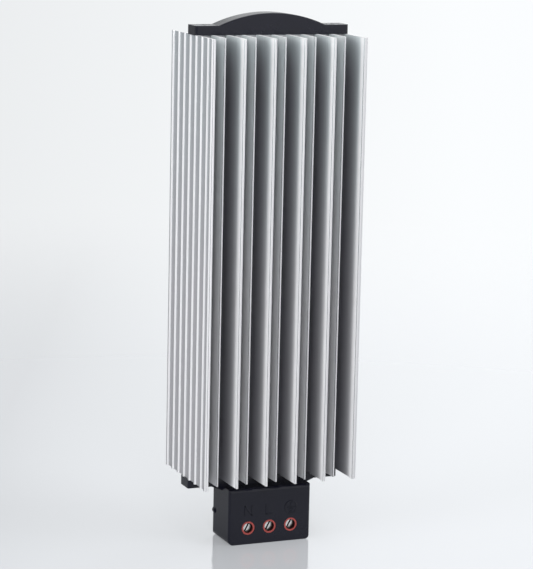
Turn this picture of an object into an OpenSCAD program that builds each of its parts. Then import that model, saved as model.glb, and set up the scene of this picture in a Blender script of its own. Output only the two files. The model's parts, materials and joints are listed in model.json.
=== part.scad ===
// Enclosure heater for a 35 mm rail: an extruded finned heat sink round a flat resistor stack,
// moulded end caps above and below, and a terminal housing hung under the lower cap.
// Millimetres, +Z up, the front faces -Y. The origin is on the floor, under the middle of the
// heat sink.

/* [Heat sink] */
// Width over the side ribs
profile_w = 70; // [66:1:80]
// Depth between the front and the back fin tips
profile_d = 50; // [46:1:60]
// Length of the extrusion
profile_l = 190.5; // [140:0.5:300]
// Thickness of the middle bar round the stack
core_t = 9; // [8.6:0.2:12]
// Thickness of the bar between the stack and the side walls
web_t = 6; // [5.4:0.2:8]
// Spacing of the long fins
fin_pitch = 13.45; // [13:0.05:14]
// Thickness of a long fin at its tip
fin_tip_t = 0.95; // [0.8:0.05:1.6]
// Thickness of a short fin at its tip
short_tip_t = 0.65; // [0.5:0.05:1.2]
// Thickness of a fin at its root
fin_root_t = 1.7; // [1.7:0.1:2.4]
// Distance of the short fin tips behind the long ones
short_fin_drop = 5.6; // [4:0.2:10]
// Chamfer on the fin tips
fin_chamfer = 0.15; // [0.1:0.05:0.2]
// Thickness of the side walls between the ribs
wall_t = 0.85; // [0.8:0.05:1.8]
// Height of the side ribs
rib_h = 0.8; // [0.5:0.05:1.2]
// Width of a side rib at its foot
rib_w = 1.3; // [1:0.1:2]
// Spacing of the side ribs
rib_pitch = 6.85; // [5:0.05:9]
// Distance of the foremost rib from the wall's front end
end_rib_inset = 0.5; // [0.3:0.1:1]
// Distance of the first evenly spaced rib from the wall's front end
rib_start = 5.5; // [4:0.1:8]

/* [Rail slot] */
// Opening of the slot down the back
slot_mouth = 7; // [5.4:0.2:8]
// Thickness of the slot lips
lip_t = 1.6; // [1.2:0.1:2.2]
// Width of the ledges under the nut bar
ledge_w = 1.6; // [1:0.1:2]
// Thickness of the ledges
ledge_t = 1.2; // [0.8:0.1:2]
// Thickness of the nut bar
nut_bar_t = 3.2; // [2.4:0.1:4]

/* [Heating stack] */
// Width of a heating stone
stone_w = 24; // [20:0.5:26]
// Height of a heating stone
stone_l = 15; // [10:0.5:20]
// Thickness of a heating stone
stone_t = 2.4; // [1.8:0.1:2.8]
// Gap between two stones
stone_gap = 6.5; // [3:0.5:12]
// Side rail and bridges of the frame round the stones
frame_rail = 1.2; // [0.8:0.1:2]
// Thickness of an electrode strip
electrode_t = 0.8; // [0.4:0.1:0.9]
// Width of the electrode tabs
tab_w = 3.6; // [2.4:0.2:3.8]
// Length of the electrode tabs
tab_l = 8; // [6:0.5:9]
// Thickness of the insulating sleeve
sleeve_t = 0.3; // [0.1:0.05:0.4]
// Distance of the stones from the ends of the extrusion
stack_margin = 12; // [10:1:30]

/* [End caps] */
// Distance of the cap ends inside the extrusion's sides
cap_inset = 0.2; // [0:0.1:1.5]
// Depth of the caps
cap_d = 10; // [9:0.2:11]
// Thickness of the cap ears
ear_t = 4; // [3.8:0.1:6]
// Span of the cap arch
arch_chord = 48; // [46:0.5:52]
// Rise of the arch above the ears
arch_rise = 5.1; // [4.8:0.1:7]
// Wall of the caps
cap_wall = 1.8; // [1.4:0.1:1.8]
// Rounding of the cap edges
cap_edge_r = 0.6; // [0.3:0.1:1]
// Rounding of the upright corners at the cap ends
cap_corner_r = 1.2; // [0.6:0.1:1.6]
// Screw ports in the extrusion
port_d = 3; // [2.6:0.1:3.4]
// Wall round a screw port
port_wall = 2.2; // [1.6:0.1:2.6]
// Length of the cap screws
cap_screw_l = 14; // [10:1:20]
// Head of the cap screws
cap_screw_head_d = 5.6; // [4.8:0.2:6]

/* [Terminal housing] */
// Width of the housing
housing_w = 38; // [36:0.5:44]
// Height of the housing below the cap ears
housing_h = 24.7; // [24:0.1:30]
// Front face of the housing, ahead of the middle of the heat sink
housing_front = 13; // [12:0.1:14]
// Back face of the housing, behind the middle of the heat sink
housing_back = 6.4; // [6.2:0.1:9]
// Depth of the rear cover
cover_d = 3.6; // [3.2:0.1:3.6]
// Wall of the housing
housing_wall = 1.8; // [1.4:0.1:2]
// Rounding of the lower corners
housing_low_r = 2.3; // [1:0.1:4]
// Rounding of the upright edges
housing_edge_r = 1; // [0.4:0.1:1.6]
// Rounding of the top front edge
housing_top_r = 1.4; // [0.6:0.1:2]
// Wall of the saddle that carries the cap arch
saddle_t = 1.6; // [1.2:0.1:2]
// Reach of the snap lugs on the rear cover
lug_h = 0.6; // [0.3:0.1:0.9]
// Radius of the snap lugs
lug_r = 1.6; // [1.2:0.1:2]
// Height of the snap lugs above the floor
lug_z = 11.5; // [8:0.5:18]

/* [Terminals] */
// Spacing of the terminals
pole_pitch = 9.9; // [9.6:0.05:11]
// Height of the terminal screws above the floor
pole_z = 7.2; // [6.8:0.1:7.6]
// Outside of the red collars
collar_d = 5.9; // [5.6:0.1:7]
// Bore of the red collars
collar_bore = 4.5; // [3.8:0.1:4.7]
// Gap between the terminal block and the heads of the housing screws
block_gap = 1.9; // [1:0.1:2.2]
// Width of a clamp body
clamp_w = 6; // [5.4:0.1:6.6]
// Height of a clamp body
clamp_h = 7.4; // [7:0.1:7.6]
// Wire holes in the housing floor
wire_d = 4.2; // [3.8:0.1:4.4]
// Wire holes, ahead of the middle of the heat sink
wire_y = 3.4; // [3.2:0.1:3.8]
// Depth of the clamp screw heads behind the front face
screw_recess = 2; // [1.6:0.1:2.4]
// Thread of the clamp screws
clamp_screw_d = 2.9; // [2.4:0.1:3]
// Lean of the screw slots from upright
slot_lean = 28; // [0:1:90]
// Diameter of the inner leads
lead_d = 1.8; // [1.2:0.1:2]

/* [Rail clip] */
// Height of the rail that the clip holds
rail_h = 35; // [32:0.5:40]
// Thickness of the rail's flanges
rail_t = 1; // [0.8:0.1:1.5]
// Width of the clip
clip_w = 24; // [18:1:30]
// Thickness of the clip's sheet
clip_t = 1; // [0.8:0.1:1.4]
// Grip of the hooks behind the flanges
hook_grip = 3; // [2:0.2:4]
// Length of the clip's hairpin below the rail
spring_l = 6; // [4:0.5:10]
// Spacing of the clip screws
clip_screw_pitch = 18; // [14:1:20]
// Thread of the clip screws
clip_screw_d = 4; // [3:0.5:4.5]

/* [Hidden] */
$fn = 64;

// Clearances: a sliding fit, a screw in its thread, a lead in its hole, and a cut past a face
fit = 0.1;
thread_fit = 0.05;
lead_fit = 0.15;
past = 1;

// Cross recess of the plain screws, its length as a share of the head
recess_share = 0.55;
recess_w = 0.7;
recess_depth = 0.8;

// Heights of the stacked pieces
profile_z = housing_h + ear_t;
profile_top = profile_z + profile_l;
clip_z = profile_z + profile_l / 2;

// Section of the extrusion
half_w = profile_w / 2;
half_d = profile_d / 2;
wall_x = half_w - rib_h - wall_t / 2;
outer_short_x = (1.5 * fin_pitch + wall_x) / 2;
long_x = [for (i = [-1.5:1:1.5]) i * fin_pitch];
front_short_x = [-outer_short_x, -fin_pitch, 0, fin_pitch, outer_short_x];
back_short_x = [-outer_short_x, -fin_pitch, fin_pitch, outer_short_x];
rib_taper = 0.3;
rib_tip_w = rib_w - rib_taper;
rib_count = floor((profile_d - rib_start - rib_w) / rib_pitch) + 1;

// Slot down the back, between the two middle fins
lip_y = half_d - lip_t;
ledge_y = lip_y - nut_bar_t - 2 * fit;
slot_w = fin_pitch - fin_root_t;
nut_bar_w = slot_w - 2 * fit;
nut_bar_end = 7;
nut_bar_l = clip_screw_pitch + 2 * nut_bar_end;
stub_gap = 1.6;
stub_tip_y = ledge_y - ledge_t - stub_gap;

// Heating stack, from the middle outwards
frame_w = stone_w + 2 * frame_rail;
sleeve_in_w = frame_w + 2 * fit;
sleeve_in_d = stone_t + 2 * electrode_t + 2 * fit;
cavity_w = sleeve_in_w + 2 * sleeve_t + 2 * fit;
cavity_d = sleeve_in_d + 2 * sleeve_t + 2 * fit;
cavity_r = 0.8;
core_side = 1;
core_w = cavity_w + core_t - cavity_d + 2 * core_side;
electrode_y = (stone_t + electrode_t) / 2;
stone_pitch = stone_l + stone_gap;
stone_count = floor((profile_l - 2 * stack_margin + stone_gap) / stone_pitch);
stack_l = stone_count * stone_pitch - stone_gap;
stack_z = profile_z + stack_margin;
tab_z = stack_z - tab_l;
sleeve_below = 6;
sleeve_above = 4;
sleeve_z = stack_z - sleeve_below;
sleeve_l = stack_l + sleeve_below + sleeve_above;
sleeve_r = 0.6;

// Caps, in a frame that starts on the end of the extrusion and points away from it
cap_w = profile_w - 2 * cap_inset;
cap_h = ear_t + arch_rise;
arch_r = (pow(arch_chord / 2, 2) + pow(arch_rise, 2)) / (2 * arch_rise);
arch_centre = cap_h - arch_r;
arch_depth = arch_chord / 2;
ear_bite = 3;
arch_reach = arch_chord / 2 + ear_bite;
ear_mid_x = (cap_w + arch_chord) / 4;
port_boss_d = port_d + 2 * port_wall;
pocket_side = 1.7;
pocket_w = arch_chord - 2 * pocket_side;
pocket_d = cap_d - 2 * cap_wall;
head_depth = (cap_screw_head_d - port_d) / 2;
port_spare = 6;
port_depth = cap_screw_l + port_spare;

// Terminal housing
housing_d = housing_front + housing_back;
split_y = housing_back - cover_d;
room_w = housing_w - 2 * housing_wall;
room_front = housing_front - housing_wall;
room_back = housing_back - housing_wall;
room_top = housing_h - housing_wall;
tongue_t = 1.2;
tongue_reach = 3;
tongue_h = 5;
lug_setback = 0.6;

// Screws that hold the housing to the cap, between the leads
housing_screw_x = pole_pitch / 2;
housing_screw_d = 2.5;
housing_screw_l = 6;
boss_bite = 0.3;
housing_boss_d = pocket_d + 2 * boss_bite;
housing_head_d = 4.6;
housing_head_h = 1.6;
seat_drop = 0.6;
arch_low_z = profile_z - cap_h;
housing_seat_z = arch_low_z - fit - saddle_t - seat_drop;

// Terminals
pole_x = [-pole_pitch, 0, pole_pitch];
block_z = housing_wall + fit;
block_w = room_w - 2 * fit;
block_front = room_front - fit;
block_back = room_back - 2 * fit;
block_top = housing_seat_z - housing_head_h - block_gap;
block_face_t = 2.3;
clamp_front = block_front - block_face_t;
clamp_back = block_back - 4 * fit;
clamp_lift = 0.3;
clamp_z = pole_z - clamp_h / 2 + clamp_lift;
clamp_top = clamp_z + clamp_h;
clamp_roof = 1.6;
wire_hole_top = clamp_top - clamp_roof;
clamp_hole_d = wire_d - 4 * fit;
wire_guide_w = wire_d + 2 * fit;
screw_head_d = collar_bore - 2 * fit;
screw_head_h = 1.8;
screw_slot_w = 0.7;
screw_slot_depth = 0.9;
screw_tip_gap = 0.8;
screw_tip_y = wire_y + screw_tip_gap;

// Inner leads: neutral and live drop straight from the tabs, and earth turns from its lug
neutral_at = [-pole_pitch, -electrode_y];
live_at = [0, electrode_y];
earth_at = [pole_pitch, 0];
lead_hole_d = lead_d + 2 * lead_fit;
earth_inset = 1;
earth_screw_x = (core_w + port_boss_d) / 2 - earth_inset;
earth_port_d = 3;
earth_port_depth = 12;
lug_t = 0.8;
lug_ring_d = 5;
lug_wall = 0.4;
lug_barrel_d = lead_d + 2 * lug_wall;
lug_barrel_l = 3;
lead_bend_r = 2.4;
earth_z = profile_z - lug_t / 2 - lug_barrel_d / 2;
earth_barrel_x = earth_screw_x - lug_ring_d / 2 - lug_barrel_l;

// Rail clip
rail_fit = 0.2;
flange_gap = rail_t + rail_fit;
hook_u = clip_t + flange_gap;
hook_v = rail_h / 2 + rail_fit;
guide_out = 1.1;
guide_down = 1.7;
clip_head_d = 7;
clip_head_h = 2.2;

// Colours
silver = [0.80, 0.81, 0.82];
black = [0.15, 0.15, 0.17];
red = [0.66, 0.20, 0.18];
brass = [0.80, 0.66, 0.34];
steel = [0.74, 0.75, 0.77];
zinc = [0.66, 0.68, 0.70];

// Shared shapes

// Plain rectangle with four rounded corners, centred
module round_rect(w, h, r) {
    square([w - 2 * r, h], center = true);
    square([w, h - 2 * r], center = true);
    for (x = [-1, 1], y = [-1, 1])
        translate([x * (w / 2 - r), y * (h / 2 - r)])
            circle(r);
}

// What a rounded corner takes off: the corner is at the origin and the material lies at +x, +y.
// A quarter turn at a time brings it to the other corners.
module corner_off(r) {
    difference() {
        translate([-past, -past])
            square(r + past);
        translate([r, r])
            circle(r);
    }
}

// Cylinder along Y from y0 to y1
module along_y(d, y0, y1) {
    translate([0, y0, 0])
        rotate([-90, 0, 0])
            cylinder(d = d, h = y1 - y0);
}

// Box from one corner to the opposite one
module span(low, high) {
    translate(low)
        cube(high - low);
}

// Cross recess in the middle of a screw head at the origin
module cross_recess(head_d) {
    size = head_d * recess_share;
    for (turn = [0, 90])
        rotate(turn)
            cube([size, recess_w, 2 * recess_depth], center = true);
}

// Heat sink

// One fin from the middle of the profile to its tip along +Y
module fin(tip_y, tip_t) {
    half_tip = tip_t / 2;
    half_root = fin_root_t / 2;
    polygon([
        [-half_root, 0],
        [half_root, 0],
        [half_tip, tip_y - fin_chamfer],
        [half_tip - fin_chamfer, tip_y],
        [fin_chamfer - half_tip, tip_y],
        [-half_tip, tip_y - fin_chamfer]
    ]);
}

// Right-hand side wall with its shallow outer ribs, counted from its front end; the front is at
// -Y, or at +Y for the wall that is then turned to the left
module side_wall(front) {
    translate([wall_x - wall_t / 2, -half_d])
        square([wall_t, profile_d]);
    starts = concat([end_rib_inset], [for (i = [0:rib_count - 1]) rib_start + i * rib_pitch]);
    for (start = starts)
        translate([wall_x, front * (half_d - start - rib_w / 2)])
            polygon([
                [0, -rib_w / 2],
                [wall_t / 2, -rib_w / 2],
                [wall_t / 2 + rib_h, -rib_tip_w / 2],
                [wall_t / 2 + rib_h, rib_tip_w / 2],
                [wall_t / 2, rib_w / 2],
                [0, rib_w / 2]
            ]);
}

// Lip and ledge of the slot on one of the two middle fins
module slot_edge(side) {
    fin_x = fin_pitch / 2;
    lip_w = fin_x - slot_mouth / 2;
    shelf_w = fin_x - slot_w / 2 + ledge_w;
    translate([side * (fin_x - lip_w / 2), lip_y + lip_t / 2])
        square([lip_w, lip_t], center = true);
    translate([side * (fin_x - shelf_w / 2), ledge_y - ledge_t / 2])
        square([shelf_w, ledge_t], center = true);
}

module profile_section() {
    difference() {
        union() {
            square([core_w, core_t], center = true);
            square([2 * wall_x, web_t], center = true);
            for (side = [-1, 1])
                translate([side * ear_mid_x, 0])
                    circle(d = port_boss_d);
            for (x = long_x, turn = [0, 180])
                translate([x, 0])
                    rotate(turn)
                        fin(half_d, fin_tip_t);
            for (x = front_short_x)
                translate([x, 0])
                    rotate(180)
                        fin(half_d - short_fin_drop, short_tip_t);
            for (x = back_short_x)
                translate([x, 0])
                    fin(half_d - short_fin_drop, short_tip_t);
            fin(stub_tip_y, short_tip_t);
            side_wall(-1);
            rotate(180)
                side_wall(1);
            for (side = [-1, 1])
                slot_edge(side);
        }
        round_rect(cavity_w, cavity_d, cavity_r);
    }
}

module heat_sink() {
    color(silver)
        difference() {
            translate([0, 0, profile_z])
                linear_extrude(profile_l)
                    profile_section();
            for (side = [-1, 1]) {
                translate([side * ear_mid_x, 0, profile_z - past])
                    cylinder(d = port_d, h = port_depth + past);
                translate([side * ear_mid_x, 0, profile_top - port_depth])
                    cylinder(d = port_d, h = port_depth + past);
            }
            translate([earth_screw_x, 0, profile_z - past])
                cylinder(d = earth_port_d, h = earth_port_depth + past);
        }
}

// End caps

// Arch as a turned ring with rounded rims, grown all round by a margin
module arch_ring(grow, edge_r) {
    ring_w = arch_depth + grow;
    translate([0, 0, arch_centre])
        rotate([90, 0, 0])
            rotate_extrude($fn = 128)
                translate([arch_r + grow - ring_w / 2, 0])
                    round_rect(ring_w, cap_d + 2 * grow, edge_r);
}

// Whole outside of a cap
module cap_form() {
    intersection() {
        rotate([90, 0, 90])
            linear_extrude(cap_w, center = true)
                difference() {
                    translate([-cap_d / 2, 0])
                        square([cap_d, ear_t]);
                    translate([-cap_d / 2, ear_t])
                        rotate(-90)
                            corner_off(cap_edge_r);
                    translate([cap_d / 2, ear_t])
                        rotate(180)
                            corner_off(cap_edge_r);
                }
        linear_extrude(cap_h)
            round_rect(cap_w, cap_d, cap_corner_r);
    }
    intersection() {
        arch_ring(0, cap_edge_r);
        span([-arch_reach, -cap_d, 0], [arch_reach, cap_d, cap_h + past]);
    }
}

// Hollow under the arch
module cap_pocket() {
    intersection() {
        translate([0, 0, arch_centre])
            rotate([90, 0, 0])
                cylinder(r = arch_r - cap_wall, h = pocket_d, center = true, $fn = 128);
        span([-pocket_w / 2, -cap_d, -past], [pocket_w / 2, cap_d, cap_h]);
    }
}

module end_cap() {
    difference() {
        cap_form();
        cap_pocket();
        for (side = [-1, 1])
            translate([side * ear_mid_x, 0, 0]) {
                translate([0, 0, -past])
                    cylinder(d = port_d + 2 * fit, h = ear_t + 2 * past);
                translate([0, 0, ear_t - head_depth - fit])
                    cylinder(
                        d1 = port_d + 2 * fit, d2 = cap_screw_head_d + 4 * fit, h = head_depth + 2 * fit
                    );
            }
    }
}

// Two countersunk screws of a cap
module cap_screws() {
    shank_d = port_d - 2 * thread_fit;
    for (side = [-1, 1])
        translate([side * ear_mid_x, 0, 0])
            difference() {
                union() {
                    translate([0, 0, ear_t - head_depth - fit])
                        cylinder(d1 = shank_d, d2 = cap_screw_head_d, h = head_depth);
                    translate([0, 0, ear_t - cap_screw_l])
                        cylinder(d = shank_d, h = cap_screw_l - head_depth - fit);
                }
                translate([0, 0, ear_t - fit])
                    cross_recess(cap_screw_head_d);
            }
}

module at_top() {
    translate([0, 0, profile_top])
        children();
}

module at_bottom() {
    translate([0, 0, profile_z])
        mirror([0, 0, 1])
            children();
}

module top_cap() {
    color(black)
        at_top()
            end_cap();
}

module top_cap_screws() {
    color(zinc)
        at_top()
            cap_screws();
}

// The lower cap has bosses for the housing screws and holes for the leads
module bottom_cap() {
    color(black)
        difference() {
            union() {
                at_bottom()
                    end_cap();
                at_bottom()
                    for (side = [-1, 1])
                        translate([side * housing_screw_x, 0, 0])
                            cylinder(d = housing_boss_d, h = cap_h - cap_wall / 2);
            }
            lead_holes();
            for (side = [-1, 1])
                translate([side * housing_screw_x, 0, arch_low_z - past])
                    cylinder(d = housing_screw_d, h = housing_screw_l + past);
        }
}

module bottom_cap_screws() {
    color(zinc)
        at_bottom()
            cap_screws();
}

// Terminal housing

// Outside of the housing and its rear cover together
module housing_form() {
    intersection() {
        rotate([90, 0, 0])
            linear_extrude(2 * housing_d, center = true)
                difference() {
                    translate([-housing_w / 2, 0])
                        square([housing_w, housing_h]);
                    translate([-housing_w / 2, 0])
                        corner_off(housing_low_r);
                    translate([housing_w / 2, 0])
                        rotate(90)
                            corner_off(housing_low_r);
                }
        linear_extrude(housing_h)
            translate([0, (housing_back - housing_front) / 2])
                round_rect(housing_w, housing_d, housing_edge_r);
        rotate([90, 0, 90])
            linear_extrude(housing_w, center = true)
                difference() {
                    translate([-housing_front, 0])
                        square([housing_d, housing_h]);
                    translate([-housing_front, housing_h])
                        rotate(-90)
                            corner_off(housing_top_r);
                }
    }
}

// Room inside the housing and its rear cover
module housing_room() {
    span([-room_w / 2, -room_front, housing_wall], [room_w / 2, room_back, room_top]);
}

// Everything ahead of, or behind, the split between the housing and its cover
module ahead_of_split() {
    span([-profile_w, -profile_d, -past], [profile_w, split_y, profile_z]);
}

module behind_split() {
    span([-profile_w, split_y, -past], [profile_w, profile_d, profile_z]);
}

// Space of the cap arch, with its fit
module arch_seat() {
    at_bottom()
        arch_ring(fit, cap_edge_r);
}

// Holes for the three leads, through caps and saddle
module lead_holes() {
    for (at = [live_at, neutral_at, earth_at])
        translate([at[0], at[1], clamp_top])
            cylinder(d = lead_hole_d, h = housing_h - clamp_top);
}

// Curved shelf under the arch, with a flat seat for each screw
module saddle() {
    intersection() {
        union() {
            at_bottom()
                arch_ring(saddle_t + fit, cap_edge_r);
            for (side = [-1, 1])
                translate([side * housing_screw_x, 0, housing_seat_z])
                    cylinder(d = housing_boss_d, h = saddle_t + past);
        }
        span([-room_w / 2 - past, -room_front, housing_wall], [room_w / 2 + past, split_y, room_top + past]);
    }
}

module terminal_housing() {
    color(black)
        difference() {
            union() {
                difference() {
                    intersection() {
                        housing_form();
                        ahead_of_split();
                    }
                    housing_room();
                }
                saddle();
            }
            arch_seat();
            lead_holes();
            for (side = [-1, 1])
                translate([side * housing_screw_x, 0, housing_seat_z - past])
                    cylinder(d = housing_screw_d + 4 * fit, h = cap_h);
            for (x = pole_x) {
                translate([x, 0, pole_z])
                    along_y(collar_d + 2 * fit, -housing_front - past, -room_front + past);
                translate([x, -wire_y, -past])
                    cylinder(d = wire_d, h = housing_wall + 2 * past);
            }
        }
}

// Tongue of the rear cover that reaches forward along the inside of a housing wall, and the
// pad that joins it to the cover's own wall
module cover_tongue(side) {
    tongue_x = room_w / 2 - fit - tongue_t / 2;
    tongue_z = block_top + tongue_h / 2;
    translate([side * tongue_x, (room_back + split_y - tongue_reach) / 2, tongue_z])
        cube([tongue_t, room_back - split_y + tongue_reach, tongue_h], center = true);
    translate([side * (room_w / 2), (split_y + room_back) / 2, tongue_z])
        cube([tongue_t, room_back - split_y, tongue_h], center = true);
}

// Shallow lid behind the split, with two tongues and a snap lug on each side
module rear_cover() {
    color(black)
        difference() {
            union() {
                difference() {
                    union() {
                        intersection() {
                            housing_form();
                            behind_split();
                        }
                        for (side = [-1, 1])
                            translate([side * (housing_w / 2 + lug_h - lug_r), 0, lug_z])
                                along_y(2 * lug_r, split_y + lug_setback, housing_back - housing_edge_r);
                    }
                    housing_room();
                }
                for (side = [-1, 1])
                    cover_tongue(side);
            }
            arch_seat();
        }
}

module housing_screws() {
    color(zinc)
        for (side = [-1, 1])
            translate([side * housing_screw_x, 0, housing_seat_z])
                difference() {
                    union() {
                        cylinder(d = housing_screw_d - 2 * thread_fit, h = saddle_t + housing_screw_l);
                        translate([0, 0, -housing_head_h])
                            cylinder(d = housing_head_d, h = housing_head_h);
                    }
                    translate([0, 0, -housing_head_h])
                        cross_recess(housing_head_d);
                }
}

// Terminals

// Red block: three collars through the housing front, a clamp pocket behind each, and a square
// guide up to each pocket from the wire hole
module terminal_block() {
    color(red)
        difference() {
            union() {
                span([-block_w / 2, -block_front, block_z], [block_w / 2, block_back, block_top]);
                for (x = pole_x)
                    translate([x, 0, pole_z])
                        along_y(collar_d, -housing_front + fit, -block_front + past);
            }
            for (x = pole_x) {
                translate([x, 0, pole_z])
                    along_y(collar_bore, -housing_front - past, -clamp_front);
                span(
                    [x - clamp_w / 2 - fit, -clamp_front - fit, clamp_z - fit],
                    [x + clamp_w / 2 + fit, block_back + past, clamp_top + fit]
                );
                translate([x, -wire_y, (block_z + clamp_z) / 2])
                    cube([wire_guide_w, wire_guide_w, clamp_z - block_z + 2 * past], center = true);
            }
            for (at = [live_at, neutral_at, earth_at])
                translate([at[0], at[1], clamp_top])
                    cylinder(d = lead_hole_d, h = block_top - clamp_top + past);
        }
}

// Brass clamps: an upright wire hole crossed by the screw's thread
module clamp_bodies() {
    color(brass)
        for (x = pole_x)
            difference() {
                span([x - clamp_w / 2, -clamp_front, clamp_z], [x + clamp_w / 2, clamp_back, clamp_top]);
                translate([x, -wire_y, clamp_z - past])
                    cylinder(d = clamp_hole_d, h = wire_hole_top - clamp_z + past);
                translate([x, 0, pole_z])
                    along_y(clamp_screw_d + 2 * thread_fit, -clamp_front - past, -wire_y);
            }
}

module clamp_screws() {
    head_y = -housing_front + screw_recess;
    color(steel)
        for (x = pole_x)
            translate([x, 0, pole_z])
                difference() {
                    union() {
                        along_y(screw_head_d, head_y, head_y + screw_head_h);
                        along_y(clamp_screw_d, head_y + past, -screw_tip_y);
                    }
                    translate([0, head_y, 0])
                        rotate([0, slot_lean, 0])
                            cube([screw_slot_w, 2 * screw_slot_depth, collar_bore + 2 * past], center = true);
                }
}

// Heating stack

module heating_stones() {
    color("dimgray")
        for (i = [0:stone_count - 1])
            translate([0, 0, stack_z + stone_l / 2 + i * stone_pitch])
                cube([stone_w, stone_t, stone_l], center = true);
}

// Flat frame that spaces the stones
module stone_frame() {
    frame_t = stone_t - 2 * fit;
    frame_l = stack_l + 2 * frame_rail;
    color("tan")
        difference() {
            translate([0, 0, stack_z + stack_l / 2])
                cube([frame_w, frame_t, frame_l], center = true);
            for (i = [0:stone_count - 1])
                translate([0, 0, stack_z + stone_l / 2 + i * stone_pitch])
                    cube([stone_w + 2 * fit, stone_t + past, stone_l + 2 * fit], center = true);
        }
}

// Strip against one face of the stones, with a tab that reaches down to its lead
module electrode(at) {
    color(brass)
        translate([0, at[1], 0]) {
            translate([0, 0, stack_z + stack_l / 2])
                cube([stone_w, electrode_t, stack_l], center = true);
            translate([at[0], 0, (tab_z + stack_z + past) / 2])
                cube([tab_w, electrode_t, tab_l + past], center = true);
        }
}

module front_electrode() {
    electrode(neutral_at);
}

module rear_electrode() {
    electrode(live_at);
}

// Film sleeve between the electrodes and the heat sink
module insulating_sleeve() {
    color("darkorange")
        translate([0, 0, sleeve_z])
            linear_extrude(sleeve_l)
                difference() {
                    round_rect(sleeve_in_w + 2 * sleeve_t, sleeve_in_d + 2 * sleeve_t, sleeve_r);
                    round_rect(sleeve_in_w, sleeve_in_d, sleeve_r / 2);
                }
}

// Leads

module straight_lead(at) {
    translate([at[0], at[1], clamp_top])
        cylinder(d = lead_d, h = tab_z - clamp_top);
}

module live_lead() {
    color("saddlebrown")
        straight_lead(live_at);
}

module neutral_lead() {
    color("royalblue")
        straight_lead(neutral_at);
}

// Down from a quarter bend that starts at the lug's barrel
module earth_lead() {
    bend_x = earth_at[0] + lead_bend_r;
    color("yellowgreen") {
        translate([earth_at[0], earth_at[1], clamp_top])
            cylinder(d = lead_d, h = earth_z - lead_bend_r - clamp_top);
        translate([bend_x, 0, earth_z - lead_bend_r])
            rotate([90, 0, 0])
                rotate([0, 0, 90])
                    rotate_extrude(angle = 90)
                        translate([lead_bend_r, 0])
                            circle(d = lead_d);
        translate([bend_x, 0, earth_z])
            rotate([0, 90, 0])
                cylinder(d = lead_d, h = earth_barrel_x - bend_x);
    }
}

// Ring lug on the end of the heat sink, with a barrel for the lead
module earth_lug() {
    color(brass)
        difference() {
            union() {
                translate([earth_screw_x, 0, profile_z - lug_t])
                    cylinder(d = lug_ring_d, h = lug_t);
                span(
                    [earth_barrel_x, -lug_barrel_d / 2, profile_z - lug_t],
                    [earth_screw_x, lug_barrel_d / 2, profile_z]
                );
                translate([earth_barrel_x, 0, earth_z])
                    rotate([0, 90, 0])
                        cylinder(d = lug_barrel_d, h = lug_barrel_l);
            }
            translate([earth_screw_x, 0, profile_z - lug_t - past])
                cylinder(d = earth_port_d + 2 * fit, h = lug_t + 2 * past);
        }
}

module earth_screw() {
    head_h = 1.4;
    color(steel)
        translate([earth_screw_x, 0, profile_z - lug_t])
            difference() {
                union() {
                    cylinder(d = earth_port_d - 2 * thread_fit, h = lug_t + earth_port_depth - past);
                    translate([0, 0, -head_h])
                        cylinder(d = lug_ring_d - 2 * fit, h = head_h);
                }
                translate([0, 0, -head_h])
                    cross_recess(lug_ring_d);
            }
}

// Rail clip

// Sheet section: u leaves the heat sink, v is up from the rail's middle
module clip_section() {
    bend_v = -rail_h / 2 - spring_l;
    lip_v = rail_h / 2 - hook_grip;
    translate([0, bend_v])
        square([clip_t, hook_v + clip_t - bend_v]);
    translate([0, hook_v])
        square([hook_u + clip_t, clip_t]);
    translate([hook_u, lip_v])
        square([clip_t, hook_v + clip_t - lip_v]);
    translate([hook_u, bend_v])
        square([clip_t, -lip_v - bend_v]);
    translate([clip_t + flange_gap / 2, bend_v])
        intersection() {
            difference() {
                circle(flange_gap / 2 + clip_t);
                circle(flange_gap / 2);
            }
            translate([-hook_u - clip_t, -hook_u - clip_t])
                square([2 * (hook_u + clip_t), hook_u + clip_t]);
        }
    polygon([
        [hook_u, lip_v],
        [hook_u + guide_out, lip_v - guide_down],
        [hook_u + guide_out + clip_t, lip_v - guide_down],
        [hook_u + clip_t, lip_v]
    ]);
    polygon([
        [hook_u + clip_t, -lip_v],
        [hook_u + guide_out + clip_t, guide_down - lip_v],
        [hook_u + guide_out, guide_down - lip_v],
        [hook_u, -lip_v]
    ]);
}

module rail_clip() {
    color(steel)
        translate([0, half_d, clip_z])
            difference() {
                rotate([90, 0, 90])
                    linear_extrude(clip_w, center = true)
                        clip_section();
                for (side = [-1, 1])
                    translate([0, 0, side * clip_screw_pitch / 2])
                        along_y(clip_screw_d + 4 * fit, -past, clip_t + past);
            }
}

// Bar that slides in the slot and takes the clip screws
module clip_nut_bar() {
    bar_y = lip_y - fit - nut_bar_t;
    color(zinc)
        difference() {
            span(
                [-nut_bar_w / 2, bar_y, clip_z - nut_bar_l / 2],
                [nut_bar_w / 2, bar_y + nut_bar_t, clip_z + nut_bar_l / 2]
            );
            for (side = [-1, 1])
                translate([0, 0, clip_z + side * clip_screw_pitch / 2])
                    along_y(clip_screw_d + 2 * thread_fit, bar_y - past, lip_y + past);
        }
}

module clip_screws() {
    seat_y = half_d + clip_t;
    color(zinc)
        for (side = [-1, 1])
            translate([0, 0, clip_z + side * clip_screw_pitch / 2])
                difference() {
                    union() {
                        along_y(clip_screw_d, lip_y - nut_bar_t, seat_y + past);
                        along_y(clip_head_d, seat_y, seat_y + clip_head_h);
                    }
                    translate([0, seat_y + clip_head_h, 0])
                        rotate([90, 0, 0])
                            cross_recess(clip_head_d);
                }
}

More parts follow.
